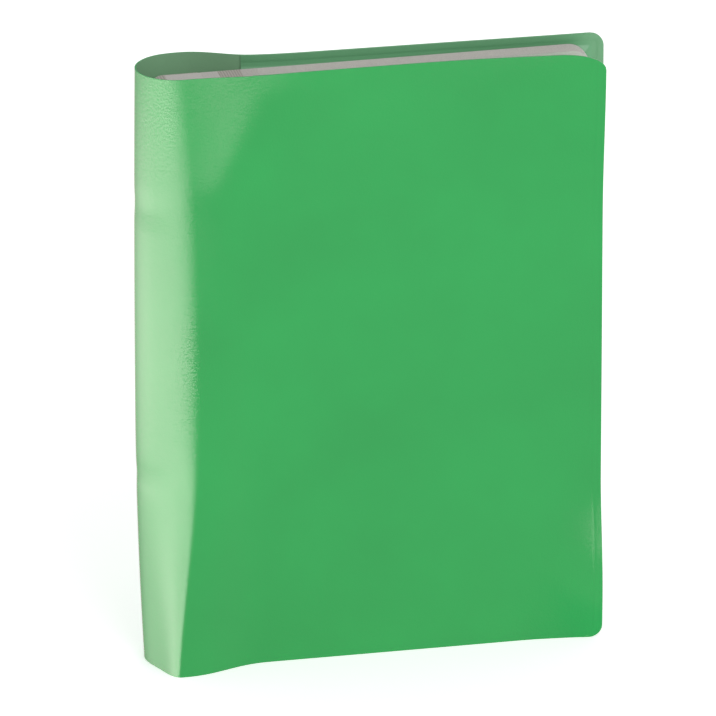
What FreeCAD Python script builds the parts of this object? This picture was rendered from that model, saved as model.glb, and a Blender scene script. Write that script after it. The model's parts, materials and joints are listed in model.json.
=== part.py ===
"""Soft-cover stamp album (stock book), closed and standing upright.

A glossy film jacket is folded into a round spine loop.  Inside each cover a second film is
welded on along three edges to make a pocket, and a card board is tucked into that pocket.
The page block is eight card leaves with rows of clear strips on both sides.  Each leaf hangs
on a linen hinge from a card guard, and the guards are stapled together inside the spine loop.

Axes: +X runs from the spine to the fore-edge, +Y from the front cover to the back cover and
+Z is up.  The origin is the middle of the footprint, on the surface that the album stands on.
"""

import FreeCAD
import Part
import Sketcher
import os

LEAF_COUNT = 8
STRIP_COUNT = 7
STAPLE_COUNT = 3

# Driving dimensions in millimetres: alias, value, what it measures.
DIMENSIONS = [
    ("album_height", 225.0, "height of the jacket, and of the album"),
    ("cover_width", 133.0, "cover, from its hinge line to the fore-edge"),
    ("cover_half_gap", 10.2, "outer face of a cover from the middle plane of the album"),
    ("cover_corner", 6.0, "radius of the covers' outer corners"),
    ("spine_half_width", 13.5, "half the outer width of the spine loop"),
    ("spine_depth", 16.0, "nose of the spine loop to its widest place"),
    ("hinge_setback", 18.5, "widest place of the spine loop to the hinge lines"),
    ("foot_lean", 3.7, "how far the soft spine loop leans to the front at its foot"),
    ("head_lean", 5.0, "how far the soft spine loop leans to the back at its head"),
    ("foot_nose", 2.5, "how far back the nose of the spine loop stands at its foot"),
    ("back_overhang", 4.0, "how much further the back cover reaches than the front cover"),
    ("back_close", 3.5, "how far the back cover's fore-edge closes in on the page block"),
    ("film_thickness", 0.5, "jacket film"),
    ("hinge_flex", 1.5, "half width of the jacket film that bends at a hinge line"),
    ("weld_inset", 2.0, "edge of a cover to the pressed weld line"),
    ("weld_line", 1.2, "width of the pressed weld line"),
    ("weld_depth", 0.12, "depth of the pressed weld line"),
    ("weld_band", 4.0, "flat welded rim of a pocket"),
    ("pocket_film", 0.35, "pocket film"),
    ("pocket_setback", 6.0, "hinge line to the open edge of a pocket"),
    ("board_thickness", 1.2, "card end board"),
    ("board_setback", 4.0, "hinge line to the edge of an end board"),
    ("board_corner", 5.0, "radius of the end boards' outer corners"),
    ("board_play", 0.1, "play of an end board and its strip inside the pocket"),
    ("board_side_play", 0.4, "play of an end board beside the pocket's raised edge"),
    ("joint_strip", 0.25, "linen joint strip between the page block and an end board"),
    ("joint_glue", 12.0, "width of a joint strip that is glued to the end board"),
    ("leaf_spacing", 1.0, "spacing of the leaves"),
    ("leaf_margin", 2.5, "cover edges to the edges of the leaves"),
    ("leaf_corner", 7.5, "radius of the leaves' outer corners"),
    ("card_thickness", 0.4, "card of a leaf"),
    ("leaf_flex", 4.0, "half width of the free linen at a leaf's hinge"),
    ("linen_thickness", 0.15, "linen hinge of a leaf"),
    ("linen_glue", 6.0, "width of linen that is glued to a guard or a leaf"),
    ("guard_width", 19.0, "card guards that the leaves are bound to"),
    ("strip_film", 0.12, "clear strips on a page"),
    ("strip_height", 27.0, "height of a clear strip"),
    ("strip_spacing", 30.0, "spacing of the clear strips"),
    ("strip_side", 5.0, "clear strips to the fore-edge and to the linen of a leaf"),
    ("strip_foot", 7.0, "lower edge of a leaf to the lowest clear strip"),
    ("interleaf_film", 0.06, "glassine interleaf"),
    ("interleaf_gap", 0.06, "clear strips to the glassine interleaf"),
    ("interleaf_margin", 2.0, "edges of a leaf to the edges of its interleaf"),
    ("tape_thickness", 0.3, "binding tape round the guards"),
    ("tape_side", 12.0, "width of the binding tape on each side of the guards"),
    ("staple_width", 1.0, "width of the flat staple wire"),
    ("staple_wire", 0.6, "thickness of the flat staple wire"),
    ("staple_setback", 6.0, "back edge of the guards to the staples"),
    ("staple_crown", 14.0, "length of a staple"),
    ("staple_clinch", 5.0, "length of a staple's bent ends"),
    ("staple_spacing", 80.0, "spacing of the staples"),
    ("staple_play", 0.1, "slit for a staple leg, larger than the wire each way"),
]

doc = FreeCAD.newDocument("StampAlbum")
sheet = doc.addObject("Spreadsheet::Sheet", "Dims")
for row, (alias, value, note) in enumerate(DIMENSIONS, start=1):
    sheet.set("A%d" % row, alias)
    sheet.set("B%d" % row, str(value))
    sheet.set("C%d" % row, note)
    sheet.setAlias("B%d" % row, alias)
doc.recompute()

# Places that several pieces share, as expressions of the driving dimensions.
BACK_WIDTH = "(Dims.cover_width + Dims.back_overhang)"
HINGE_X = "((Dims.spine_depth + Dims.hinge_setback - %s) / 2)" % BACK_WIDTH
HINGE_Y = "(Dims.cover_half_gap - Dims.film_thickness / 2)"
LOOP_X = "(%s - Dims.hinge_setback)" % HINGE_X
FORE_EDGE_X = "(%s + Dims.cover_width)" % HINGE_X
BACK_EDGE_X = "(%s + %s)" % (HINGE_X, BACK_WIDTH)
TOE_IN_SINE = "(Dims.back_close / %s)" % BACK_WIDTH
TOE_IN_COSINE = "sqrt(1 - %s ^ 2)" % TOE_IN_SINE
LEAF_EDGE_X = "(%s - Dims.leaf_margin)" % FORE_EDGE_X
LEAF_FOOT_Z = "Dims.leaf_margin"
LEAF_HEAD_Z = "(Dims.album_height - Dims.leaf_margin)"
CARD_X = "(%s + Dims.leaf_flex)" % HINGE_X
GUARD_FRONT_X = "(%s - Dims.leaf_flex)" % HINGE_X
GUARD_BACK_X = "(%s - Dims.guard_width)" % GUARD_FRONT_X
GUARD_THICKNESS = "(Dims.leaf_spacing - Dims.linen_thickness)"
STACK_HALF = "(%d * Dims.leaf_spacing / 2)" % LEAF_COUNT
COVER_INSIDE = "(Dims.cover_half_gap - Dims.film_thickness)"
POCKET_RAISE = "(2 * Dims.board_play + Dims.board_thickness + Dims.joint_strip)"
BOARD_FACE = "(%s - Dims.board_play - Dims.board_thickness)" % COVER_INSIDE
HOLLOW_INSET = "(Dims.weld_band + Dims.pocket_film / 2)"
BOARD_INSET = "(%s + %s + Dims.board_side_play)" % (HOLLOW_INSET, POCKET_RAISE)
STAPLE_X = "(%s + Dims.staple_setback)" % GUARD_BACK_X
STAPLE_Y = "(%s + Dims.tape_thickness + Dims.staple_wire / 2)" % STACK_HALF
STAPLE_SPAN = "(%d * Dims.staple_spacing + Dims.staple_crown)" % (STAPLE_COUNT - 1)
STAPLE_FOOT_Z = "((Dims.album_height - %s) / 2)" % STAPLE_SPAN
STAPLE_HEAD_Z = "(%s + Dims.staple_crown)" % STAPLE_FOOT_Z
SLIT_WIDTH = "Dims.staple_width + Dims.staple_play"
SLIT_HEIGHT = "Dims.staple_wire + Dims.staple_play"

# Handles of the spine's cubic curves: on a quarter round, as a share of its radius, and on an S
# bend, as a share of its run.
ROUND_HANDLE = 0.5523
BEND_HANDLE = 0.4

# Slope of a pocket's raised edge, and how far it runs on past a cut so that the cut is clean.
POCKET_SLOPE_DEG = 45.0
OVERRUN = "(3 * %s)" % POCKET_RAISE

sub_parts = []


def value_of(expression):
    """Return an expression of the driving dimensions as a number."""
    return float(sheet.evalExpression(expression))


def new_body(label, depth="0"):
    """Start a sub-part whose own XZ plane stands at the given depth along Y."""
    body = doc.addObject("PartDesign::Body", label)
    body.Label = label
    body.AllowCompound = True
    body.setExpression(".Placement.Base.y", depth)
    sub_parts.append(body)
    return body


def cover_place(front, across, depth):
    """Place of a cover's point in plan: the back cover stands turned in about its hinge line."""
    if front:
        return across, depth
    out = "(%s - %s)" % (across, HINGE_X)
    behind = "(%s - %s)" % (depth, HINGE_Y)
    return ("%s + %s * %s + %s * %s" % (HINGE_X, out, TOE_IN_COSINE, behind, TOE_IN_SINE),
            "%s - %s * %s + %s * %s" % (HINGE_Y, out, TOE_IN_SINE, behind, TOE_IN_COSINE))


def new_cover_body(label, front, depth):
    """Start a sub-part of a cover, with its cover's turn about the hinge line."""
    body = new_body(label, depth)
    if not front:
        across, turned_depth = cover_place(front, "0", depth)
        body.Placement.Rotation = FreeCAD.Rotation(FreeCAD.Vector(0, 0, -1), 1)
        body.setExpression(".Placement.Base.x", across)
        body.setExpression(".Placement.Base.y", turned_depth)
        body.setExpression(".Placement.Rotation.Angle", "asin(%s)" % TOE_IN_SINE)
    return body


def cover_edge(front):
    """Fore-edge of a cover before its turn, as an expression."""
    return FORE_EDGE_X if front else BACK_EDGE_X


def new_sketch(body, role):
    """Add a sketch on one of the body's own origin planes."""
    sketch = body.newObject("Sketcher::SketchObject", "Sketch")
    plane = next(feature for feature in body.Origin.OriginFeatures if feature.Role == role)
    sketch.AttachmentSupport = (plane, "")
    sketch.MapMode = "FlatFace"
    return sketch


def bind(sketch, kind, references, expression):
    """Add a constraint whose size follows an expression of the driving dimensions."""
    index = sketch.addConstraint(Sketcher.Constraint(kind, *references, value_of(expression)))
    sketch.setExpression("Constraints[%d]" % index, expression)


def draw_path(sketch, points, closed):
    """Draw straight lines through points whose coordinates are expressions."""
    vectors = [FreeCAD.Vector(value_of(across), value_of(up), 0) for across, up in points]
    line_count = len(points) if closed else len(points) - 1
    first = sketch.GeometryCount
    for index in range(line_count):
        sketch.addGeometry(Part.LineSegment(vectors[index], vectors[(index + 1) % len(points)]))
    for index in range(line_count if closed else line_count - 1):
        following = first + (index + 1) % line_count
        sketch.addConstraint(Sketcher.Constraint("Coincident", first + index, 2, following, 1))
    for index, (across, up) in enumerate(points):
        corner = (first + index, 1) if index < line_count else (first + line_count - 1, 2)
        bind(sketch, "DistanceX", (-1, 1) + corner, across)
        bind(sketch, "DistanceY", (-1, 1) + corner, up)


def add_cubic(sketch, points):
    """Add a cubic curve whose two inner control points follow their expressions."""
    vectors = [FreeCAD.Vector(value_of(across), value_of(up), 0) for across, up in points]
    bezier = Part.BezierCurve()
    bezier.setPoles(vectors)
    curve = sketch.addGeometry(bezier.toBSpline())
    poles = []
    for index, vector in enumerate(vectors):
        pole = sketch.addGeometry(Part.Circle(vector, FreeCAD.Vector(0, 0, 1), 1.0), True)
        if index == 0:
            sketch.addConstraint(Sketcher.Constraint("Weight", pole, 1.0))
        else:
            sketch.addConstraint(Sketcher.Constraint("Equal", poles[0], pole))
        kind = "InternalAlignment:Sketcher::BSplineControlPoint"
        sketch.addConstraint(Sketcher.Constraint(kind, pole, 3, curve, index))
        poles.append(pole)
    for pole, (across, up) in list(zip(poles, points))[1:-1]:
        bind(sketch, "DistanceX", (-1, 1, pole, 3), across)
        bind(sketch, "DistanceY", (-1, 1, pole, 3), up)
    return curve


def draw_outline(sketch, segments):
    """Draw a closed outline: a segment of two points is a line, one of four is a cubic curve."""
    curves = []
    for points in segments:
        if len(points) == 2:
            ends = [FreeCAD.Vector(value_of(across), value_of(up), 0) for across, up in points]
            curves.append(sketch.addGeometry(Part.LineSegment(*ends)))
        else:
            curves.append(add_cubic(sketch, points))
    for index, curve in enumerate(curves):
        following = curves[(index + 1) % len(curves)]
        sketch.addConstraint(Sketcher.Constraint("Coincident", curve, 2, following, 1))
        across, up = segments[index][0]
        bind(sketch, "DistanceX", (-1, 1, curve, 1), across)
        bind(sketch, "DistanceY", (-1, 1, curve, 1), up)


def draw_box(sketch, left, bottom, right, top):
    """Draw a rectangle between two corners whose coordinates are expressions."""
    draw_path(sketch, [(left, bottom), (right, bottom), (right, top), (left, top)], closed=True)


def draw_boxes(sketch, centres, width, height):
    """Draw equal rectangles at centres whose coordinates are expressions."""
    for across, up in centres:
        draw_box(sketch, "%s - (%s) / 2" % (across, width), "%s - (%s) / 2" % (up, height),
                 "%s + (%s) / 2" % (across, width), "%s + (%s) / 2" % (up, height))


def pad(body, sketch, length, towards_back=True, taper=0.0):
    """Pad a sketch; one on the XZ plane grows towards the back cover or towards the front."""
    feature = body.newObject("PartDesign::Pad", "Pad")
    feature.Profile = sketch
    feature.setExpression("Length", length)
    feature.TaperAngle = taper
    feature.Reversed = towards_back
    doc.recompute()
    return feature


def pad_up(body, sketch, length):
    """Pad a sketch on the XY plane upwards."""
    return pad(body, sketch, length, towards_back=False)


def pocket(body, sketch, length=None, towards_back=True, taper=0.0):
    """Cut a sketch out of the body, to a depth or right through, and make sure that it cut."""
    volume_before = body.Shape.Volume
    feature = body.newObject("PartDesign::Pocket", "Pocket")
    feature.Profile = sketch
    if length is None:
        feature.Type = "ThroughAll"
        feature.SideType = "Symmetric"
    else:
        feature.setExpression("Length", length)
        feature.TaperAngle = taper
        feature.Reversed = not towards_back
    doc.recompute()
    if not feature.Shape.Volume < volume_before:
        raise RuntimeError("%s: a pocket cut nothing" % body.Label)
    return feature


def round_fore_edge(body, base, radius, fore_edge):
    """Round the two corners of a plate at its fore-edge."""
    edge_x = value_of(fore_edge)
    names = []
    for number, edge in enumerate(base.Shape.Edges, start=1):
        ends = [vertex.Point for vertex in edge.Vertexes]
        if len(ends) == 2 and all(abs(end.x - edge_x) < 1e-6 for end in ends):
            if abs(ends[0].z - ends[1].z) < 1e-6:
                names.append("Edge%d" % number)
    fillet = body.newObject("PartDesign::Fillet", "Fillet")
    fillet.Base = (base, names)
    fillet.setExpression("Radius", radius)
    doc.recompute()
    return fillet


def repeat(body, original, count, spacing, axis, backwards=False):
    """Repeat a feature along an axis of its own sketch."""
    pattern = body.newObject("PartDesign::LinearPattern", "LinearPattern")
    pattern.Originals = [original]
    pattern.Direction = (original.Profile[0], [axis])
    pattern.Reversed = backwards
    pattern.Occurrences = count
    pattern.setExpression("Length", "%d * (%s)" % (count - 1, spacing))
    body.Tip = pattern
    doc.recompute()
    return pattern


def flat_piece(label, depth, thickness, left, bottom, right, top):
    """Make a plain upright sheet, from the given depth towards the back cover."""
    body = new_body(label, depth)
    sketch = new_sketch(body, "XZ_Plane")
    draw_box(sketch, left, bottom, right, top)
    return body, pad(body, sketch, thickness)


def spine_half(sign, lean, nose, inset):
    """One half of the spine's plan, inset from its outer face, from the nose to the hinge film.

    The sign is "" for the back half and "-" for the front half.  The curves are a quarter round
    and an S bend, whose handles move with the inset so that the film stays equally thick.
    """
    end_x = "(%s - Dims.hinge_flex)" % HINGE_X
    end_y = "%s(Dims.cover_half_gap - %s)" % (sign, inset)
    run = "(%s - %s)" % (end_x, LOOP_X)
    crest = "%s(Dims.spine_half_width - %s)" % (sign, inset)
    crest_y = "%s + %s" % (lean, crest)
    depth = "(Dims.spine_depth - %s)" % inset
    drop = "(Dims.spine_half_width - Dims.cover_half_gap + %s(%s))" % (sign, lean)
    shift = "2 / 3 * %s * %s / (%s * %s)" % (inset, drop, 1 - BEND_HANDLE, run)
    quarter = [
        ("%s - %s" % (LOOP_X, depth), nose),
        ("%s - %s" % (LOOP_X, depth), "%s + %s * (%s - (%s))" % (nose, ROUND_HANDLE, crest_y, nose)),
        ("%s - %s * %s" % (LOOP_X, ROUND_HANDLE, depth), crest_y),
        (LOOP_X, crest_y),
    ]
    bend = [
        (LOOP_X, crest_y),
        ("%s + %s * %s - %s" % (LOOP_X, BEND_HANDLE, run, shift), crest_y),
        ("%s - %s * %s - %s" % (end_x, BEND_HANDLE, run, shift), end_y),
        (end_x, end_y),
    ]
    return [quarter, bend]


def draw_spine_section(sketch, lean, nose):
    """Draw the cut through the spine film: the lean moves its loop along Y, and nose places its nose."""
    outside_front, inside_front, outside_back, inside_back = [
        spine_half(sign, lean, nose, inset) for sign in ("-", "") for inset in ("0", "Dims.film_thickness")]

    def backwards(curves):
        return [points[::-1] for points in reversed(curves)]

    front_end = [outside_front[-1][-1], inside_front[-1][-1]]
    back_end = [inside_back[-1][-1], outside_back[-1][-1]]
    draw_outline(sketch, outside_front + [front_end] + backwards(inside_front) + inside_back
                 + [back_end] + backwards(outside_back))


def make_spine_film():
    """Jacket film round the spine: a soft loop that leans, and runs into the covers in S bends."""
    body = new_body("spine_film")
    foot = new_sketch(body, "XY_Plane")
    draw_spine_section(foot, "-Dims.foot_lean", "Dims.foot_nose")
    head = new_sketch(body, "XY_Plane")
    head.setExpression(".AttachmentOffset.Base.z", "Dims.album_height")
    draw_spine_section(head, "Dims.head_lean", "Dims.head_lean")
    doc.recompute()
    film = body.newObject("PartDesign::AdditiveLoft", "AdditiveLoft")
    film.Profile = foot
    film.Sections = [head]
    film.Ruled = True
    doc.recompute()


def make_hinge_film(side, front):
    """The narrow stretch of jacket film that bends when a cover opens."""
    body = new_body(side + "_hinge_film")
    sign = "-" if front else ""
    outside, inside = sign + "Dims.cover_half_gap", sign + COVER_INSIDE
    spine_x = "%s - Dims.hinge_flex" % HINGE_X
    cover_x = "%s + Dims.hinge_flex" % HINGE_X
    section = new_sketch(body, "XY_Plane")
    draw_path(section, [
        (spine_x, outside), (HINGE_X, outside), cover_place(front, cover_x, outside),
        cover_place(front, cover_x, inside), (HINGE_X, inside), (spine_x, inside),
    ], closed=True)
    pad_up(body, section, "Dims.album_height")


def make_cover_film(side, front):
    """Jacket film of one cover, with the weld line pressed into its outside."""
    body = new_cover_body(side + "_cover_film", front,
                          "-Dims.cover_half_gap" if front else "Dims.cover_half_gap")
    left = "%s + Dims.hinge_flex" % HINGE_X
    edge = cover_edge(front)
    outline = new_sketch(body, "XZ_Plane")
    draw_box(outline, left, "0", edge, "Dims.album_height")
    plate = pad(body, outline, "Dims.film_thickness", towards_back=front)
    round_fore_edge(body, plate, "Dims.cover_corner", edge)

    far = "(Dims.weld_inset + Dims.weld_line)"
    start = "%s + Dims.pocket_setback" % HINGE_X
    weld = new_sketch(body, "XZ_Plane")
    draw_path(weld, [
        (start, "Dims.weld_inset"),
        ("%s - Dims.weld_inset" % edge, "Dims.weld_inset"),
        ("%s - Dims.weld_inset" % edge, "Dims.album_height - Dims.weld_inset"),
        (start, "Dims.album_height - Dims.weld_inset"),
        (start, "Dims.album_height - %s" % far),
        ("%s - %s" % (edge, far), "Dims.album_height - %s" % far),
        ("%s - %s" % (edge, far), far),
        (start, far),
    ], closed=True)
    pocket(body, weld, "Dims.weld_depth", towards_back=front)


def make_pocket_film(side, front):
    """Pocket film: a flat welded rim on three sides and a raised middle, open towards the spine."""
    body = new_cover_body(side + "_pocket_film", front, "-%s" % COVER_INSIDE if front else COVER_INSIDE)
    edge = cover_edge(front)
    opening = "%s + Dims.pocket_setback" % HINGE_X
    beyond = "%s - %s" % (opening, OVERRUN)
    outline = new_sketch(body, "XZ_Plane")
    draw_box(outline, opening, "0", edge, "Dims.album_height")
    rim = pad(body, outline, "Dims.pocket_film", towards_back=front)
    round_fore_edge(body, rim, "Dims.cover_corner", edge)

    raised = new_sketch(body, "XZ_Plane")
    draw_box(raised, beyond, "Dims.weld_band", "%s - Dims.weld_band" % edge,
             "Dims.album_height - Dims.weld_band")
    pad(body, raised, "%s + Dims.pocket_film" % POCKET_RAISE, front, -POCKET_SLOPE_DEG)

    hollow = new_sketch(body, "XZ_Plane")
    draw_box(hollow, beyond, HOLLOW_INSET, "%s - %s" % (edge, HOLLOW_INSET),
             "Dims.album_height - %s" % HOLLOW_INSET)
    pocket(body, hollow, POCKET_RAISE, front, -POCKET_SLOPE_DEG)

    trim = new_sketch(body, "XZ_Plane")
    draw_box(trim, "%s - %s" % (beyond, OVERRUN), "-%s" % OVERRUN, opening,
             "Dims.album_height + %s" % OVERRUN)
    pocket(body, trim)


def make_end_board(side, front):
    """Card board that stiffens a cover, tucked into its pocket."""
    edge = "(%s - %s)" % (cover_edge(front), BOARD_INSET)
    body = new_cover_body(side + "_end_board", front, "-%s" % BOARD_FACE if front else BOARD_FACE)
    outline = new_sketch(body, "XZ_Plane")
    draw_box(outline, "%s + Dims.board_setback" % HINGE_X, BOARD_INSET, edge,
             "Dims.album_height - %s" % BOARD_INSET)
    plate = pad(body, outline, "Dims.board_thickness", towards_back=not front)
    round_fore_edge(body, plate, "Dims.board_corner", edge)


def make_joint_strip(side, front):
    """Linen strip, as high as an end board, from the side of the page block to that board."""
    body = new_body(side + "_joint_strip")
    body.setExpression(".Placement.Base.z", BOARD_INSET)
    sign = "-" if front else ""
    block_x = "%s - Dims.linen_glue" % GUARD_FRONT_X
    board_x = "%s + Dims.board_setback" % HINGE_X
    end_x = "%s + Dims.joint_glue" % board_x
    block_y = "%s%s" % (sign, STACK_HALF)
    block_out_y = "%s(%s + Dims.joint_strip)" % (sign, STACK_HALF)
    board_y = "%s(%s - Dims.joint_strip)" % (sign, BOARD_FACE)
    board_out_y = "%s%s" % (sign, BOARD_FACE)
    section = new_sketch(body, "XY_Plane")
    draw_path(section, [
        (block_x, block_y), (GUARD_FRONT_X, block_y),
        cover_place(front, board_x, board_y), cover_place(front, end_x, board_y),
        cover_place(front, end_x, board_out_y), cover_place(front, board_x, board_out_y),
        (GUARD_FRONT_X, block_out_y), (block_x, block_out_y),
    ], closed=True)
    pad_up(body, section, "Dims.album_height - 2 * %s" % BOARD_INSET)


def staple_leg_places():
    """Places of the staple legs, as expressions across and up."""
    places = []
    for index in range(STAPLE_COUNT):
        shift = "%d * Dims.staple_spacing" % index
        places.append((STAPLE_X, "%s + %s" % (STAPLE_FOOT_Z, shift)))
        places.append((STAPLE_X, "%s + %s" % (STAPLE_HEAD_Z, shift)))
    return places


def make_binding_guards():
    """The stack of card guards, one for each leaf, with slits for the staples."""
    body, guard = flat_piece("binding_guards", "-%s" % STACK_HALF, GUARD_THICKNESS,
                             GUARD_BACK_X, LEAF_FOOT_Z, GUARD_FRONT_X, LEAF_HEAD_Z)
    repeat(body, guard, LEAF_COUNT, "Dims.leaf_spacing", "N_Axis", backwards=True)
    slits = new_sketch(body, "XZ_Plane")
    draw_boxes(slits, staple_leg_places(), SLIT_WIDTH, SLIT_HEIGHT)
    pocket(body, slits)


def make_binding_tape():
    """Linen tape folded round the back of the guards, with slits for the staples."""
    body = new_body("binding_tape")
    body.setExpression(".Placement.Base.z", LEAF_FOOT_Z)
    outside = "(%s + Dims.tape_thickness)" % STACK_HALF
    front_x = "%s + Dims.tape_side" % GUARD_BACK_X
    section = new_sketch(body, "XY_Plane")
    draw_path(section, [
        ("%s - Dims.tape_thickness" % GUARD_BACK_X, "-%s" % outside), (front_x, "-%s" % outside),
        (front_x, "-%s" % STACK_HALF), (GUARD_BACK_X, "-%s" % STACK_HALF),
        (GUARD_BACK_X, STACK_HALF), (front_x, STACK_HALF),
        (front_x, outside), ("%s - Dims.tape_thickness" % GUARD_BACK_X, outside),
    ], closed=True)
    pad_up(body, section, "%s - %s" % (LEAF_HEAD_Z, LEAF_FOOT_Z))
    slits = new_sketch(body, "XZ_Plane")
    places = [(across, "%s - %s" % (up, LEAF_FOOT_Z)) for across, up in staple_leg_places()]
    draw_boxes(slits, places, SLIT_WIDTH, SLIT_HEIGHT)
    pocket(body, slits)


def make_staples():
    """Wire staples through the tape and the guards, clinched at the back."""
    body = new_body("binding_staples")
    body.setExpression(".Placement.Base.x", STAPLE_X)
    path = new_sketch(body, "YZ_Plane")
    lower_end_z = "%s + Dims.staple_clinch" % STAPLE_FOOT_Z
    draw_path(path, [
        (STAPLE_Y, lower_end_z),
        (STAPLE_Y, STAPLE_FOOT_Z),
        ("-%s" % STAPLE_Y, STAPLE_FOOT_Z),
        ("-%s" % STAPLE_Y, STAPLE_HEAD_Z),
        (STAPLE_Y, STAPLE_HEAD_Z),
        (STAPLE_Y, "%s - Dims.staple_clinch" % STAPLE_HEAD_Z),
    ], closed=False)
    wire = new_sketch(body, "XY_Plane")
    wire.setExpression(".AttachmentOffset.Base.z", lower_end_z)
    draw_boxes(wire, [("0", STAPLE_Y)], "Dims.staple_width", "Dims.staple_wire")
    doc.recompute()
    staple = body.newObject("PartDesign::AdditivePipe", "AdditivePipe")
    staple.Profile = wire
    staple.Spine = path
    staple.Transition = "Right corner"
    doc.recompute()
    pattern = body.newObject("PartDesign::LinearPattern", "LinearPattern")
    pattern.Originals = [staple]
    pattern.Direction = (path, ["V_Axis"])
    pattern.Occurrences = STAPLE_COUNT
    pattern.setExpression("Length", "%d * Dims.staple_spacing" % (STAPLE_COUNT - 1))
    body.Tip = pattern
    doc.recompute()


def leaf_plane(index):
    """Depth of a leaf's front face, as an expression; leaf 1 is next to the front cover."""
    guard_back = "(-%s + %d * Dims.leaf_spacing + %s)" % (STACK_HALF, index - 1, GUARD_THICKNESS)
    return "(%s - Dims.card_thickness)" % guard_back


def make_strips(label, depth):
    """Rows of clear strips on one side of a leaf."""
    left = "%s + Dims.linen_glue + Dims.strip_side" % CARD_X
    bottom = "%s + Dims.strip_foot" % LEAF_FOOT_Z
    body, strip = flat_piece(label, depth, "Dims.strip_film", left, bottom,
                             "%s - Dims.strip_side" % LEAF_EDGE_X, "%s + Dims.strip_height" % bottom)
    repeat(body, strip, STRIP_COUNT, "Dims.strip_spacing", "V_Axis")


def make_leaf(index):
    """One leaf: its card, its linen hinge, its clear strips and the glassine behind it."""
    name = "leaf_%d" % index
    front_face = leaf_plane(index)
    back_face = "(%s + Dims.card_thickness)" % front_face
    body, card = flat_piece(name + "_card", front_face, "Dims.card_thickness",
                            CARD_X, LEAF_FOOT_Z, LEAF_EDGE_X, LEAF_HEAD_Z)
    round_fore_edge(body, card, "Dims.leaf_corner", LEAF_EDGE_X)
    flat_piece(name + "_linen_hinge", back_face, "Dims.linen_thickness",
               "%s - Dims.linen_glue" % GUARD_FRONT_X, LEAF_FOOT_Z,
               "%s + Dims.linen_glue" % CARD_X, LEAF_HEAD_Z)
    make_strips(name + "_front_strips", "%s - Dims.strip_film" % front_face)
    make_strips(name + "_back_strips", back_face)
    if index < LEAF_COUNT:
        edge = "(%s - Dims.interleaf_margin)" % LEAF_EDGE_X
        depth = "%s + Dims.strip_film + Dims.interleaf_gap" % back_face
        body, sheet_piece = flat_piece(name + "_interleaf", depth, "Dims.interleaf_film", CARD_X,
                                       "%s + Dims.interleaf_margin" % LEAF_FOOT_Z, edge,
                                       "%s - Dims.interleaf_margin" % LEAF_HEAD_Z)
        round_fore_edge(body, sheet_piece, "Dims.leaf_corner", edge)


def check_document():
    """Stop if any object failed or any sub-part has no sound shape."""
    doc.recompute()
    for item in doc.Objects:
        if "Invalid" in item.State or "Error" in item.State:
            raise RuntimeError("%s failed: %s" % (item.Label, item.State))
    for part in sub_parts:
        if part.Shape.isNull() or not part.Shape.isValid() or not part.Shape.Solids:
            raise RuntimeError("%s has no sound solid" % part.Label)


make_spine_film()
for cover_side, is_front in (("front", True), ("back", False)):
    make_hinge_film(cover_side, is_front)
    make_cover_film(cover_side, is_front)
    make_pocket_film(cover_side, is_front)
    make_end_board(cover_side, is_front)
    make_joint_strip(cover_side, is_front)
make_binding_guards()
make_binding_tape()
make_staples()
for leaf_number in range(1, LEAF_COUNT + 1):
    make_leaf(leaf_number)
check_document()

os.makedirs("parts", exist_ok=True)
for part in sub_parts:
    part.Shape.exportStep("parts/%s.step" % part.Label)
    box = part.Shape.BoundBox
    print("%-22s solids %d  volume %.1f  x %.2f..%.2f  y %.3f..%.3f  z %.2f..%.2f" % (
        part.Label, len(part.Shape.Solids), part.Shape.Volume,
        box.XMin, box.XMax, box.YMin, box.YMax, box.ZMin, box.ZMax))
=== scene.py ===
"""Looks of the soft-cover stamp album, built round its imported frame."""

import json
import math

import bpy
from mathutils import Matrix, Vector, noise

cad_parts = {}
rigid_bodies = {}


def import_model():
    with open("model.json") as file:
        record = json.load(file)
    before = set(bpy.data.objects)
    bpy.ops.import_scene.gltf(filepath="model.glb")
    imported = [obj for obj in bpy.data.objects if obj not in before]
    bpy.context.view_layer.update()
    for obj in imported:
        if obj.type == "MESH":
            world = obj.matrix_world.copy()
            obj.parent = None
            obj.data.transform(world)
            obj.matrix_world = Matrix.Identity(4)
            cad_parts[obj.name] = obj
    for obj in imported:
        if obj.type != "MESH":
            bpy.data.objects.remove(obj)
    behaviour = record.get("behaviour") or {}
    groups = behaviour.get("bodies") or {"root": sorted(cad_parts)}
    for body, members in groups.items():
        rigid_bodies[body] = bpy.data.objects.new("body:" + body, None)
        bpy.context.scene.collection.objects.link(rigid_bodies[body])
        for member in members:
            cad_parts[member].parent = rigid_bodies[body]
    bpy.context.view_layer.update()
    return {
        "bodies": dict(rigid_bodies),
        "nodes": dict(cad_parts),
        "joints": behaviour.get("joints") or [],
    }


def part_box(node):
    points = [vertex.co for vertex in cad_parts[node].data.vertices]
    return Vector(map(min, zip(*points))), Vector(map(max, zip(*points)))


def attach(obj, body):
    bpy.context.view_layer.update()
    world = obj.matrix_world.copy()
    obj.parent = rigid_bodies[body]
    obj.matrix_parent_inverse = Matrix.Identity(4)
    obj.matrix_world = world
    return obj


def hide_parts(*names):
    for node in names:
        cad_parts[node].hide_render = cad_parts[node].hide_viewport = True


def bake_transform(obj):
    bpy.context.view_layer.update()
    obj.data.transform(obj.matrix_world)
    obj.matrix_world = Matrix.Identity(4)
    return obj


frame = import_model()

bl_info = {
    "name": "Stamp Album",
    "version": (1, 0, 0),
    "blender": (4, 5, 0),
    "location": "View3D > Sidebar > Album",
    "description": "Film jacket, pockets, pages and studio for a soft-cover stamp album",
    "category": "Object",
}

MM = 0.001
JOINTS = {joint["name"]: joint for joint in frame["joints"]}
LEAF_COUNT = sum(1 for body in frame["bodies"] if body.startswith("leaf_"))

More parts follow.
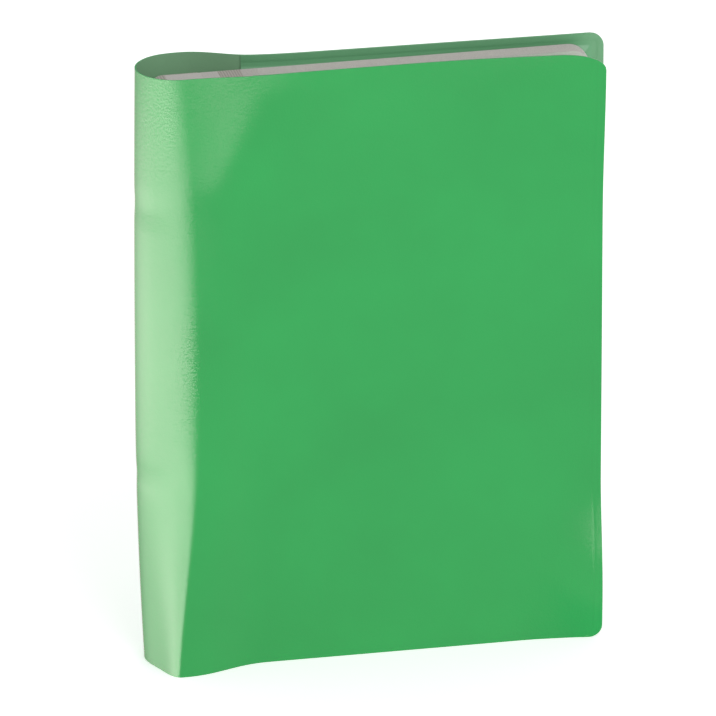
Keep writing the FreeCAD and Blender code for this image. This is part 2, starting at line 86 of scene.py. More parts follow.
# Places read from the frame, in metres.
SPINE_LOW, SPINE_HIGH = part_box("spine_film")
COVER_LOW, COVER_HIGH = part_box("front_cover_film")
POCKET_LOW, POCKET_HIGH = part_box("front_pocket_film")
BOARD_LOW, BOARD_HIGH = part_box("front_end_board")
STRIP_LOW, STRIP_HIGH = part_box("front_joint_strip")
BACK_EDGE_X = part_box("back_cover_film")[1].x
ALBUM_HEIGHT = SPINE_HIGH.z
NOSE_X = SPINE_LOW.x
HINGE_X = JOINTS["front_cover_hinge"]["pos_m"][0]
FORE_EDGE_X = COVER_HIGH.x
COVER_OUT = -COVER_LOW.y
FILM = COVER_HIGH.y - COVER_LOW.y
# The sharpest bend that is shaded smooth.
SMOOTH_ANGLE = math.radians(50)


def linear_colour(value):
    """Turn an sRGB hex value such as "#3ea85d" into linear red, green and blue."""
    channels = [int(value[place:place + 2], 16) / 255 for place in (1, 3, 5)]
    return [c / 12.92 if c <= 0.04045 else ((c + 0.055) / 1.055) ** 2.4 for c in channels]


def colour_property(name, description, value):
    """A colour that the user can change, given as sRGB hex."""
    return bpy.props.FloatVectorProperty(name=name, description=description, subtype="COLOR",
                                         size=3, min=0.0, max=1.0, default=linear_colour(value))


def length_property(name, description, value):
    """A length that the user can change, in metres."""
    return bpy.props.FloatProperty(name=name, description=description, unit="LENGTH", default=value)


class JacketSettings(bpy.types.PropertyGroup):
    """Sizes and colours of the film jacket."""
    film_colour: colour_property("Film colour", "Green of the glossy vinyl film", "#1da14e")
    # The inside colour is a paler copy of the film green: painted light that lifts the film's inside out of
    # the shade it sits in.
    inside_painted_light_colour: colour_property("Inside colour", "Duller green of the film's inside", "#86b48d")
    pocket_colour: colour_property("Pocket colour", "Green of the pocket films", "#70ae80")
    corner: length_property("Corner radius", "Radius of the covers' outer corners", 5 * MM)
    head_corner: length_property("Head corner", "Reach of the front cover's long head corner", 17 * MM)
    weld_inset: length_property("Weld inset", "Edge of a cover to its weld line", 2.2 * MM)
    weld_width: length_property("Weld width", "Width of the pressed weld line", 1.2 * MM)
    weld_depth: length_property("Weld depth", "Depth of the pressed weld line", 0.1 * MM)
    ripple: length_property("Ripple", "Height of the film's soft waves", 0.22 * MM)
    spine_depth: length_property("Spine depth", "Nose of the spine to its widest place", 16 * MM)
    bend_reach: length_property("Bend reach", "How far the spine's S bend runs past the hinge line", 12 * MM)
    head_lean: length_property("Head lean", "How far the head of the spine leans to the back", 5.0 * MM)
    foot_lean: length_property("Foot lean", "How far the foot of the spine leans to the front", 3.7 * MM)
    foot_nose: length_property("Foot nose", "How far back the spine's nose stands at its foot", 2.5 * MM)
    nose_bow: length_property("Nose bow", "How far the spine's nose bows out between head and foot", 0.7 * MM)
    head_curl: length_property("Head curl", "How far the front cover's head corner curls out", 4 * MM)
    foot_curl: length_property("Foot curl", "How far the front cover's foot corner curls out", 3.4 * MM)
    back_close: length_property("Back close", "How far the back cover's fore-edge closes in", 3.5 * MM)


class PageSettings(bpy.types.PropertyGroup):
    """Colours of the page block."""
    card_colour: colour_property("Card colour", "White of the leaf card", "#e9e6e0")
    strip_colour: colour_property("Strip colour", "Tint of the clear strips", "#f4f6f6")
    glassine_colour: colour_property("Glassine colour", "Tint of the interleaves", "#f0eee6")
    board_colour: colour_property("Board colour", "Grey of the end boards", "#a19c93")
    linen_colour: colour_property("Linen colour", "Colour of the linen hinges and tape", "#dcd8cd")
    staple_colour: colour_property("Staple colour", "Colour of the staple wire", "#b9bbbd")


class StageSettings(bpy.types.PropertyGroup):
    """Camera, floor and light."""
    azimuth: bpy.props.FloatProperty(name="Azimuth", description="Turn of the camera round the album",
                                     subtype="ANGLE", default=math.radians(-12.6))
    elevation: bpy.props.FloatProperty(name="Elevation", description="Height angle of the camera",
                                       subtype="ANGLE", default=math.radians(22.0))
    distance: length_property("Distance", "Camera to the point it looks at", 18 * ALBUM_HEIGHT)
    lens: bpy.props.FloatProperty(name="Lens", description="Focal length in millimetres", default=571.0)
    aim_x: length_property("Aim X", "Point the camera looks at", -6.25 * MM)
    aim_y: length_property("Aim Y", "Point the camera looks at", -4.8 * MM)
    floor_colour: colour_property("Floor colour", "Plain pale floor", "#ffffff")


def settings(group):
    """Return one of the scene's setting groups."""
    return getattr(bpy.context.scene, group)


# Modelling helpers


def deselect_all():
    """Leave edit mode with nothing selected."""
    if bpy.context.object and bpy.context.object.mode != "OBJECT":
        bpy.ops.object.mode_set(mode="OBJECT")
    bpy.ops.object.select_all(action="DESELECT")


def activate(obj):
    """Make one object the only selected and active one."""
    deselect_all()
    obj.select_set(True)
    bpy.context.view_layer.objects.active = obj


def sheet_mesh(name, columns, rows, place):
    """Add a grid primitive and lay its points out by place(column value, row value)."""
    deselect_all()
    across, up = len(columns) - 1, len(rows) - 1
    bpy.ops.mesh.primitive_grid_add(x_subdivisions=across, y_subdivisions=up, size=2)
    obj = bpy.context.object
    obj.name = obj.data.name = name
    if len(obj.data.vertices) != len(columns) * len(rows):
        raise RuntimeError("%s: the grid has %d points" % (name, len(obj.data.vertices)))
    for vertex in obj.data.vertices:
        column = round((vertex.co.x + 1) / 2 * across)
        row = round((vertex.co.y + 1) / 2 * up)
        vertex.co = place(columns[column], rows[row])
    return obj


def apply_modifiers(obj):
    """Apply every modifier of a piece."""
    activate(obj)
    for modifier in list(obj.modifiers):
        bpy.ops.object.modifier_apply(modifier=modifier.name)


def thicken(obj, thickness, outwards, inside_slot=0):
    """Give a sheet its wall, on the side that outwards points away from, and smooth it.

    The wall's edges are kept level with the album's foot and head.
    """
    mesh = obj.data
    facing = sum((polygon.normal.dot(outwards(polygon.center)) for polygon in mesh.polygons))
    if facing < 0:
        mesh.flip_normals()
    wall = obj.modifiers.new("Wall", "SOLIDIFY")
    wall.thickness = thickness
    wall.offset = -1
    wall.use_even_offset = True
    wall.material_offset = inside_slot
    apply_modifiers(obj)
    for vertex in obj.data.vertices:
        vertex.co.z = min(ALBUM_HEIGHT, max(0.0, vertex.co.z))
    bpy.ops.object.shade_smooth_by_angle(angle=SMOOTH_ANGLE)


def dress(obj, *materials):
    """Give a piece its materials."""
    obj.data.materials.clear()
    for material in materials:
        obj.data.materials.append(material)


def smoothstep(low, high, value):
    """Rise smoothly from 0 at low to 1 at high."""
    share = min(1.0, max(0.0, (value - low) / (high - low)))
    return share * share * (3 - 2 * share)


def ease(low, high, value):
    """Rise from 0 at low to 1 at high without a sudden bend at either end."""
    share = min(1.0, max(0.0, (value - low) / (high - low)))
    return share ** 3 * (share * (6 * share - 15) + 10)


def spread(low, high, count):
    """Evenly spaced values, both ends included."""
    return [low + (high - low) * index / count for index in range(count + 1)]


# Materials


def add_node(tree, kind, inputs=None, links=None, **attributes):
    """Add a shader node, set its attributes and inputs and link its inputs."""
    node = tree.nodes.new(kind)
    for key, value in attributes.items():
        setattr(node, key, value)
    for key, value in (inputs or {}).items():
        node.inputs[key].default_value = value
    for key, socket in (links or {}).items():
        tree.links.new(socket, node.inputs[key])
    return node


def new_material(name):
    """Start a material and return it with its tree, shader and object coordinates."""
    material = bpy.data.materials.new(name)
    material.use_nodes = True
    tree = material.node_tree
    shader = tree.nodes["Principled BSDF"]
    coordinates = add_node(tree, "ShaderNodeTexCoord").outputs["Object"]
    return material, tree, shader, coordinates


def ramp(tree, factor, low, high, low_colour, high_colour):
    """Add a colour ramp between two colours."""
    node = add_node(tree, "ShaderNodeValToRGB", links={"Fac": factor})
    node.color_ramp.elements[0].position = low
    node.color_ramp.elements[0].color = (*low_colour, 1)
    node.color_ramp.elements[1].position = high
    node.color_ramp.elements[1].color = (*high_colour, 1)
    return node.outputs["Color"]


def per_metre(size_mm):
    """Noise scale whose features are about size_mm across."""
    return 1000.0 / size_mm


def vinyl_film(name, colour, roughness):
    """Calendered soft vinyl film: clear gloss, a faint orange peel and slow shifts of tone."""
    material, tree, shader, place = new_material(name)
    tone = add_node(tree, "ShaderNodeTexNoise", {"Scale": per_metre(60), "Detail": 3.0, "Roughness": 0.55},
                    {"Vector": place}).outputs["Fac"]
    darker = [channel * 0.93 for channel in colour]
    lighter = [min(1.0, channel * 1.05) for channel in colour]
    tree.links.new(ramp(tree, tone, 0.3, 0.7, darker, lighter), shader.inputs["Base Color"])
    peel = add_node(tree, "ShaderNodeTexNoise", {"Scale": per_metre(0.9), "Detail": 3.0},
                    {"Vector": place}).outputs["Fac"]
    bump = add_node(tree, "ShaderNodeBump", {"Strength": 0.17, "Distance": 0.0002}, {"Height": peel})
    tree.links.new(bump.outputs["Normal"], shader.inputs["Normal"])
    shader.inputs["Roughness"].default_value = roughness
    shader.inputs["IOR"].default_value = 1.53
    return material


def paint_top_and_bottom_shade(tree, colour, shade):
    """Paint shade on the faces that look up or down, where a sheet is cut: multiply a colour by shade there.
    """
    normal = add_node(tree, "ShaderNodeNewGeometry").outputs["Normal"]
    upright = add_node(tree, "ShaderNodeSeparateXYZ", links={"Vector": normal}).outputs["Z"]
    facing_up_or_down = add_node(tree, "ShaderNodeMath", links={0: upright}, operation="ABSOLUTE").outputs[0]
    # Painted shade: faces that look up or down are multiplied darker, as if they were out of the light.
    tone = ramp(tree, facing_up_or_down, 0.4, 0.6, [1, 1, 1], [shade] * 3)
    mixed = add_node(tree, "ShaderNodeMix", {"Factor": 1.0}, {6: colour, 7: tone}, data_type="RGBA",
                     blend_type="MULTIPLY")
    return mixed.outputs[2]


def fibre_card(name, colour, fibre_mm, painted_edge_shade):
    """Uncoated card: matt, with cloudy fibre and a slightly rough face; its cut top and bottom edges get
    painted shade.
    """
    material, tree, shader, place = new_material(name)
    grain = {"Scale": per_metre(fibre_mm), "Detail": 6.0, "Roughness": 0.7}
    fibre = add_node(tree, "ShaderNodeTexNoise", grain, {"Vector": place}).outputs["Fac"]
    darker = [channel * 0.86 for channel in colour]
    face = ramp(tree, fibre, 0.3, 0.7, darker, colour)
    # Painted shade: the card's top and bottom edges are multiplied darker, as if out of the light.
    tree.links.new(paint_top_and_bottom_shade(tree, face, painted_edge_shade), shader.inputs["Base Color"])
    bump = add_node(tree, "ShaderNodeBump", {"Strength": 0.15, "Distance": 0.0001}, {"Height": fibre})
    tree.links.new(bump.outputs["Normal"], shader.inputs["Normal"])
    shader.inputs["Roughness"].default_value = 0.75
    shader.inputs["IOR"].default_value = 1.5
    return material


def linen_weave(name, colour, thread_mm):
    """Plain woven linen: two crossed sets of threads, matt, with uneven slubs; its cut top and bottom edges
    get painted shade.
    """
    material, tree, shader, place = new_material(name)
    turned = add_node(tree, "ShaderNodeMapping", {"Rotation": (0, math.radians(90), 0)}, {"Vector": place})
    warp = add_node(tree, "ShaderNodeTexWave", {"Scale": per_metre(thread_mm) / math.tau, "Distortion": 0.6},
                    {"Vector": place}, bands_direction="X").outputs["Fac"]
    weft = add_node(tree, "ShaderNodeTexWave", {"Scale": per_metre(thread_mm) / math.tau, "Distortion": 0.6},
                    {"Vector": turned.outputs["Vector"]}, bands_direction="X").outputs["Fac"]
    weave = add_node(tree, "ShaderNodeMath", links={0: warp, 1: weft}, operation="MULTIPLY").outputs[0]
    darker = [channel * 0.72 for channel in colour]
    cloth = ramp(tree, weave, 0.05, 0.7, darker, colour)
    # Painted shade: the linen's top and bottom edges are multiplied by 0.58, as if out of the light.
    tree.links.new(paint_top_and_bottom_shade(tree, cloth, 0.58), shader.inputs["Base Color"])
    bump = add_node(tree, "ShaderNodeBump", {"Strength": 0.4, "Distance": 0.0002}, {"Height": weave})
    tree.links.new(bump.outputs["Normal"], shader.inputs["Normal"])
    shader.inputs["Roughness"].default_value = 0.85
    return material


def clear_film(name, colour, pitch, foot):
    """Clear polyester strip: see-through, glossy, with a milky glued line along its lower edge."""
    material, tree, shader, place = new_material(name)
    height = add_node(tree, "ShaderNodeSeparateXYZ", links={"Vector": place}).outputs["Z"]
    raised = add_node(tree, "ShaderNodeMath", {1: foot}, {0: height}, operation="SUBTRACT").outputs[0]
    within = add_node(tree, "ShaderNodeMath", {1: pitch}, {0: raised}, operation="MODULO").outputs[0]
    glued = add_node(tree, "ShaderNodeMath", {1: 1.6 * MM}, {0: within}, operation="LESS_THAN").outputs[0]
    shown = add_node(tree, "ShaderNodeMapRange", {"To Min": 0.04, "To Max": 0.4}, {"Value": glued})
    tree.links.new(shown.outputs["Result"], shader.inputs["Alpha"])
    shader.inputs["Base Color"].default_value = (*colour, 1)
    shader.inputs["Roughness"].default_value = 0.08
    shader.inputs["IOR"].default_value = 1.57
    return material


def glassine_sheet(name, colour):
    """Glassine: thin calendered paper, half see-through, cloudy, with a soft sheen."""
    material, tree, shader, place = new_material(name)
    cloud = add_node(tree, "ShaderNodeTexNoise", {"Scale": per_metre(4), "Detail": 5.0},
                     {"Vector": place}).outputs["Fac"]
    shown = add_node(tree, "ShaderNodeMapRange", {"To Min": 0.55, "To Max": 0.8}, {"Value": cloud})
    tree.links.new(shown.outputs["Result"], shader.inputs["Alpha"])
    shader.inputs["Base Color"].default_value = (*colour, 1)
    shader.inputs["Roughness"].default_value = 0.35
    return material


def drawn_wire(name, colour):
    """Galvanised flat wire: bright, with fine drawing lines along it."""
    material, tree, shader, place = new_material(name)
    stretched = add_node(tree, "ShaderNodeMapping", {"Scale": (12000, 600, 600)}, {"Vector": place})
    lines = add_node(tree, "ShaderNodeTexNoise", {"Scale": 1.0, "Detail": 2.0},
                     {"Vector": stretched.outputs["Vector"]}).outputs["Fac"]
    rough = add_node(tree, "ShaderNodeMapRange", {"To Min": 0.25, "To Max": 0.45}, {"Value": lines})
    tree.links.new(rough.outputs["Result"], shader.inputs["Roughness"])
    shader.inputs["Base Color"].default_value = (*colour, 1)
    shader.inputs["Metallic"].default_value = 1.0
    return material


# The jacket's form


def corner_edge(height, side):
    """How far a rounded corner draws the fore-edge in at a height."""
    radius = settings("album_jacket").corner
    rise = min(height, ALBUM_HEIGHT - height)
    if rise >= radius or (side < 0 and height > ALBUM_HEIGHT / 2):
        return 0.0
    return radius - math.sqrt(max(0.0, radius ** 2 - (radius - rise) ** 2))


def head_drop(x, height):
    """How far the front cover's long head corner lowers a place near the head."""
    jacket = settings("album_jacket")
    along = 1 - (FORE_EDGE_X - x) / jacket.head_corner
    if along <= 0:
        return 0.0
    drop = 1.3 * jacket.corner * (1 - math.sqrt(max(0.0, 1 - along ** 2)))
    return drop * max(0.0, 1 - (ALBUM_HEIGHT - height) / (16 * MM))


def spine_share(x):
    """How much a place on the jacket belongs to the spine loop, from 1 there to 0 on the covers."""
    jacket = settings("album_jacket")
    return 1 - ease(NOSE_X + jacket.spine_depth, HINGE_X + jacket.bend_reach, x)


def soft_ramp(value, width):
    """Stay at 0 below -width, then rise gently until the slope is 1 from width on."""
    if value > width:
        return value
    return max(0.0, value + width) ** 2 / (4 * width)


def jacket_offset(x, height, side):
    """How far the soft jacket is pushed along Y: side is -1 on the front half and 1 on the back."""
    jacket = settings("album_jacket")
    share = height / ALBUM_HEIGHT
    lean = -jacket.foot_lean + (jacket.foot_lean + jacket.head_lean) * share
    offset = lean * spine_share(x)
    nose = (jacket.foot_nose + jacket.foot_lean) * (1 - share)
    offset += nose * (1 - smoothstep(NOSE_X, NOSE_X + jacket.spine_depth, x))
    along = max(0.0, (x - HINGE_X) / (FORE_EDGE_X - HINGE_X))
    foot_splay = 1.2 * MM
    crease = 5 * MM
    rim_bulge = 1.8 * MM
    if side < 0:
        offset -= jacket.head_curl * smoothstep(0.35, 1.0, along) ** 2 * smoothstep(0.72, 1.0, share)
        offset -= foot_splay * along * (1 - share)
        reach = x - FORE_EDGE_X + 0.35 * height
        curl = 0.85 * soft_ramp(reach + 25 * MM, crease)
        curl += soft_ramp(reach + 0.2 * height + 9 * MM, crease)
        offset -= jacket.foot_curl * curl / (34 * MM) * (1 - smoothstep(5 * MM, 62 * MM, height))
    else:
        offset -= jacket.back_close * max(0.0, (x - HINGE_X) / (BACK_EDGE_X - HINGE_X))
        offset += rim_bulge * share ** 2 * math.exp(-((x - HINGE_X) / (14 * MM)) ** 2)
    return offset


def fold(x, height, start, end, width):
    """Height, from 0 to 1, of a soft fold that runs between two places on a cover."""
    line = Vector(end) - Vector(start)
    place = Vector((x, height)) - Vector(start)
    share = place.dot(line) / line.length_squared
    nearest = line * min(1.0, max(0.0, share))
    fade = smoothstep(-0.35, 0.1, share) * (1 - smoothstep(0.9, 1.35, share))
    return math.exp(-((place - nearest).length / width) ** 2) * fade


def ripple(x, height, side):
    """How far the film stands off its board: soft waves and a fold at the front cover's head."""
    jacket = settings("album_jacket")
    place = Vector((x * 22, side * 3.7, height * 14))
    wave = jacket.ripple * (1 - noise.noise(place))
    if side < 0:
        head = (HINGE_X + 14 * MM, ALBUM_HEIGHT - 6 * MM), (HINGE_X - 9 * MM, ALBUM_HEIGHT - 44 * MM)
        wave += 0.35 * MM * fold(x, height, *head, 9 * MM)
    return -wave


def fore_edge(side):
    """Fore-edge of the front cover or of the back cover, which reaches further."""
    return FORE_EDGE_X if side < 0 else BACK_EDGE_X


def weld_line(inset):
    """Strength, from 0 to 1, of the pressed weld line at a distance from an edge."""
    jacket = settings("album_jacket")
    away = abs(inset - jacket.weld_inset - jacket.weld_width / 2)
    return 1 - smoothstep(0.25 * jacket.weld_width, 0.6 * jacket.weld_width, away)


class SpineCurve:
    """Plan of the jacket's outer face, without its lean, from the nose of the spine to a cover."""

    def __init__(self):
        jacket = settings("album_jacket")
        self.depth = jacket.spine_depth
        self.half_width = (SPINE_HIGH.y - SPINE_LOW.y - jacket.head_lean - jacket.foot_lean) / 2
        self.crest_x = NOSE_X + self.depth
        self.flat_x = HINGE_X + jacket.bend_reach
        self.round_length = math.pi / 2 * (self.depth + self.half_width) / 2
        self.bend_length = self.flat_x - self.crest_x
        self.length = self.round_length + self.bend_length

    def point(self, along):
        """Place on the back half (y above 0) at about this distance from the nose."""
        if along <= self.round_length:
            angle = along / self.round_length * math.pi / 2
            return self.crest_x - self.depth * math.cos(angle), self.half_width * math.sin(angle)
        x = self.crest_x + along - self.round_length
        return x, self.bend(x)

    def bend(self, x):
        """Half width of the jacket between its widest place and the covers."""
        return self.half_width - (self.half_width - COVER_OUT) * ease(self.crest_x, self.flat_x, x)


def blend_at_hinge(piece, side):
    """Bake a soft piece's placement into its points."""
    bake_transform(piece)


def rim_rows():
    """Heights of the jacket's rows of points: close together at the weld lines and corners."""
    near = [0, 0.25, 0.7, 1.3, 1.8, 2.2, 2.6, 3.0, 3.4, 3.9, 4.6, 5.4, 6.4, 8.0]
    near = [value * MM for value in near]
    middle = spread(near[-1], ALBUM_HEIGHT - near[-1], 52)[1:-1]
    return near + middle + [ALBUM_HEIGHT - value for value in reversed(near)]


def fore_edge_columns(start, side):
    """Places along a cover from its hinge to the fore-edge, close together at the weld line."""
    near = [8.0, 6.4, 5.4, 4.6, 3.9, 3.4, 3.0, 2.6, 2.2, 1.8, 1.3, 0.7, 0.25, 0]
    near = [fore_edge(side) - value * MM for value in near]
    return spread(start, near[0], 34)[:-1] + near


def cover_point(x, height, side, depth):
    """Place on a cover's sheet, depth inside the jacket's outer face, with its corner rounded."""
    edge = fore_edge(side)
    start = edge - 12 * MM
    if x > start:
        x = start + (x - start) * (edge - corner_edge(height, side) - start) / (edge - start)
    if side < 0:
        height -= head_drop(x, height)
    return Vector((x, side * (COVER_OUT - depth) + jacket_offset(x, height, side), height))


def jacket_point(curve, distance, height):
    """Place on the jacket's outer face, distance measured from the nose, positive to the back."""
    side = 1 if distance > 0 else -1
    x, y = curve.point(abs(distance))
    if abs(distance) > curve.length:
        column = curve.flat_x + abs(distance) - curve.length
        raised = 0.6 * settings("album_jacket").weld_depth * weld_line(fore_edge(side) - column)
        return cover_point(column, height, side, ripple(column, height, side) - raised)
    swell = ripple(x, height, side) * smoothstep(0, 0.3 * curve.round_length, abs(distance))
    place = Vector((x, side * (y - swell) + jacket_offset(x, height, side), height))
    share = height / ALBUM_HEIGHT
    set_in = 0.6 * MM
    foot_tuck = 2.0 * MM
    dent_depth = 0.25 * MM
    bow = settings("album_jacket").nose_bow * (2.6 * share * (1 - share) - 0.9 * share ** 3) - set_in
    bow -= foot_tuck * max(0.0, 1 - share / 0.42) ** 2
    for dent in (0.32, 0.777):
        bow -= dent_depth * math.exp(-((share - dent) / 0.016) ** 2)
    place.x -= bow * (1 - smoothstep(NOSE_X, curve.crest_x, x))
    if side < 0:
        full = smoothstep(NOSE_X, curve.crest_x, x) * (1 - smoothstep(curve.crest_x, curve.flat_x, x))
        shift = 20 * MM * share * (1 - share) - 3.5 * MM * (1 - smoothstep(0.05, 0.4, share))
        place.x += shift * full
    return place


class ALBUM_OT_jacket(bpy.types.Operator):
    """Model the glossy film jacket round the spine loop and over both covers"""
    bl_idname = "album.jacket"
    bl_label = "Film jacket"

    def execute(self, context):
        jacket = settings("album_jacket")
        curve = SpineCurve()
        film = vinyl_film("glossy_vinyl_film", list(jacket.film_colour), 0.13)
        # Its higher roughness is the film's matte inside; its paler colour is painted light.
        inside = vinyl_film("vinyl_film_inside", list(jacket.inside_painted_light_colour), 0.3)
        rows = rim_rows()
        seam = curve.round_length + 0.25 * curve.bend_length

        def flat(side):
            return [curve.length + x - curve.flat_x for x in fore_edge_columns(curve.flat_x, side)]

        front = [-value for value in reversed(flat(-1))] + spread(-curve.length, seam, 110)[1:]
        back = spread(seam, curve.length, 22)[:-1] + flat(1)

        def outwards(centre):
            return Vector((min(0.0, centre.x - curve.crest_x), centre.y, 0))

        for name, columns, side in (("jacket_front", front, -1), ("jacket_back", back, 1)):
            piece = sheet_mesh(name, columns, rows, lambda d, z: jacket_point(curve, d, z))
            dress(piece, film, inside)
            thicken(piece, FILM, outwards, inside_slot=1)
            blend_at_hinge(piece, side)
            if side < 0:
                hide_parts("spine_film", "front_hinge_film", "front_cover_film")
            else:
                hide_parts("back_hinge_film", "back_cover_film")
        return {"FINISHED"}


class ALBUM_OT_pockets(bpy.types.Operator):
    """Model the pocket films that are welded inside the covers"""
    bl_idname = "album.pockets"
    bl_label = "Pocket films"

    def execute(self, context):
        jacket = settings("album_jacket")
        film = vinyl_film("satin_vinyl_film", list(jacket.pocket_colour), 0.28)
        thickness = 0.35 * MM
        rise = POCKET_HIGH.y - POCKET_LOW.y - thickness
        rim = 4 * MM
        start = POCKET_LOW.x
        for side, name in ((-1, "front"), (1, "back")):
            def place(x, height):
                inset = min(fore_edge(side) - x, height, ALBUM_HEIGHT - height)
                lifted = smoothstep(rim, rim + 2 * rise, inset)
                depth = FILM + thickness + rise * lifted - jacket.weld_depth * weld_line(inset)
                return cover_point(x, height, side, depth + (1 - lifted) * ripple(x, height, side))

            piece = sheet_mesh(name + "_pocket", fore_edge_columns(start, side), rim_rows(), place)
            thicken(piece, thickness, lambda centre: Vector((0, -side, 0)))
            dress(piece, film)
            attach(piece, name + "_cover")
            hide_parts(name + "_pocket_film")
        return {"FINISHED"}


class ALBUM_OT_boards(bpy.types.Operator):
    """Model the card boards tucked into the pockets"""
    bl_idname = "album.boards"
    bl_label = "End boards"

    def execute(self, context):
        # The last number is the painted shade on the boards' top and bottom edges.
        card = fibre_card("grey_board", list(settings("album_pages").board_colour), 1.5, 0.8)
        thickness = BOARD_HIGH.y - BOARD_LOW.y
        for side, name in ((-1, "front"), (1, "back")):
            edge = fore_edge(side) - FORE_EDGE_X + BOARD_HIGH.x

            def place(x, height):
                drawn = 0.0
                radius = 5 * MM
                rise = min(height - BOARD_LOW.z, BOARD_HIGH.z - height)
                if rise < radius:
                    drawn = radius - math.sqrt(max(0.0, radius ** 2 - (radius - rise) ** 2))
                start = edge - 2 * radius
                if x > start:
                    x = start + (x - start) * (edge - drawn - start) / (edge - start)
                depth = COVER_OUT + BOARD_HIGH.y
                offset = jacket_offset(x, height, side)
                return Vector((x, side * (COVER_OUT - depth) + offset, height))

            ends = [value * MM for value in (0, 0.2, 0.6, 1.2, 2.0, 3.0, 4.0, 5.0)]
            rows = [BOARD_LOW.z + value for value in ends]
            rows += spread(rows[-1], BOARD_HIGH.z - ends[-1], 20)[1:-1]
            rows += [BOARD_HIGH.z - value for value in reversed(ends)]
            piece = sheet_mesh(name + "_board", spread(BOARD_LOW.x, edge, 30), rows, place)
            thicken(piece, thickness, lambda centre: Vector((0, -side, 0)))
            dress(piece, card)
            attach(piece, name + "_cover")
            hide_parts(name + "_end_board")
        return {"FINISHED"}


class ALBUM_OT_joint_strips(bpy.types.Operator):
    """Model the linen strips that join the page block to the end boards"""
    bl_idname = "album.joint_strips"
    bl_label = "Joint strips"

    def execute(self, context):
        linen = linen_weave("woven_linen_strip", list(settings("album_pages").linen_colour), 0.5)
        thickness = 0.25 * MM
        block_y = -STRIP_HIGH.y + thickness
        board_y = -STRIP_LOW.y
        curve = SpineCurve()
        for side, name in ((-1, "front"), (1, "back")):
            def place(x, height):
                down = smoothstep(HINGE_X - 5 * MM, HINGE_X - 1.5 * MM, x)
                up = smoothstep(HINGE_X + MM, HINGE_X + 5.5 * MM, x)
                inside = curve.bend(x) + side * jacket_offset(x, height, side) - FILM - 0.4 * MM
                hinge_y = min(COVER_OUT + 0.6 * MM, inside)
                y = side * (block_y + (hinge_y - block_y) * down + (board_y - hinge_y) * up)
                offset = jacket_offset(x, height, side) * up
                return Vector((x, y + offset, height))

            piece = sheet_mesh(name + "_joint_strip_linen", spread(STRIP_LOW.x, STRIP_HIGH.x, 40),
                               spread(STRIP_LOW.z, STRIP_HIGH.z, 40), place)
            thicken(piece, thickness, lambda centre: Vector((0, side, 0)))
            dress(piece, linen)
            blend_at_hinge(piece, side)
            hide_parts(name + "_joint_strip")
        return {"FINISHED"}


class ALBUM_OT_linen_hinges(bpy.types.Operator):
    """Model the linen hinge of every leaf"""
    bl_idname = "album.linen_hinges"
    bl_label = "Linen hinges"

    def execute(self, context):
        linen = linen_weave("woven_linen_hinge", list(settings("album_pages").linen_colour), 0.5)
        extra = 0.8 * MM
        for number in range(1, LEAF_COUNT + 1):
            node = "leaf_%d_linen_hinge" % number
            low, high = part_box(node)
            piece = sheet_mesh("leaf_%d_hinge" % number, spread(low.x, high.x, 40), spread(low.z, high.z, 8),
                               lambda x, z: Vector((x, high.y, z)))
            thicken(piece, high.y - low.y, lambda centre: Vector((0, 1, 0)))
            middle = (low.y + high.y) / 2
            for vertex in piece.data.vertices:
                if vertex.co.y < middle:
                    free = abs(vertex.co.x - HINGE_X)
                    vertex.co.y -= extra * (1 - smoothstep(3.4 * MM, 3.9 * MM, free))
            dress(piece, linen)
            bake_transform(piece)
            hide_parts(node)
        return {"FINISHED"}


def clear_strips(name, low, high, spacing, lift):
    """Model one side's rows of clear strips, the face towards the card lifted off it by lift."""
    count = math.ceil((high.z - low.z) / spacing)
    strip_height = high.z - low.z - (count - 1) * spacing
    near, far = (low.y, high.y - lift) if name.endswith("front_film") else (low.y + lift, high.y)
    strips = []
    for row in range(count):
        deselect_all()
        bpy.ops.mesh.primitive_cube_add(size=2)
        strip = bpy.context.object
        for vertex in strip.data.vertices:
            foot = low.z + row * spacing
            vertex.co = Vector((low.x if vertex.co.x < 0 else high.x, near if vertex.co.y < 0 else far,
                                foot if vertex.co.z < 0 else foot + strip_height))
        strips.append(strip)
    activate(strips[0])
    for strip in strips:
        strip.select_set(True)
    bpy.ops.object.join()
    piece = bpy.context.object
    piece.name = piece.data.name = name
    return piece


class ALBUM_OT_pages(bpy.types.Operator):
    """Finish the leaf cards and interleaves and model the clear strips"""
    bl_idname = "album.pages"
    bl_label = "Pages"

    def execute(self, context):
        pages = settings("album_pages")
        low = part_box("leaf_1_front_strips")[0]
        # The last number is the painted shade on the leaf cards' top and bottom edges.
        card = fibre_card("white_card", list(pages.card_colour), 0.8, 0.55)
        spacing = 30 * MM
        lift = 0.03 * MM
        strips = clear_film("clear_strip_film", list(pages.strip_colour), spacing, low.z)
        glassine = glassine_sheet("glassine", list(pages.glassine_colour))
        for name, node in frame["nodes"].items():
            if name.endswith("_card"):
                dress(node, card)
            elif name.endswith("_interleaf"):
                dress(node, glassine)
        for number in range(1, LEAF_COUNT + 1):
            for side in ("front", "back"):
                node = "leaf_%d_%s_strips" % (number, side)
                piece = clear_strips("leaf_%d_%s_film" % (number, side), *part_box(node), spacing, lift)
                dress(piece, strips)
                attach(piece, "leaf_%d" % number)
                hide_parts(node)
        return {"FINISHED"}


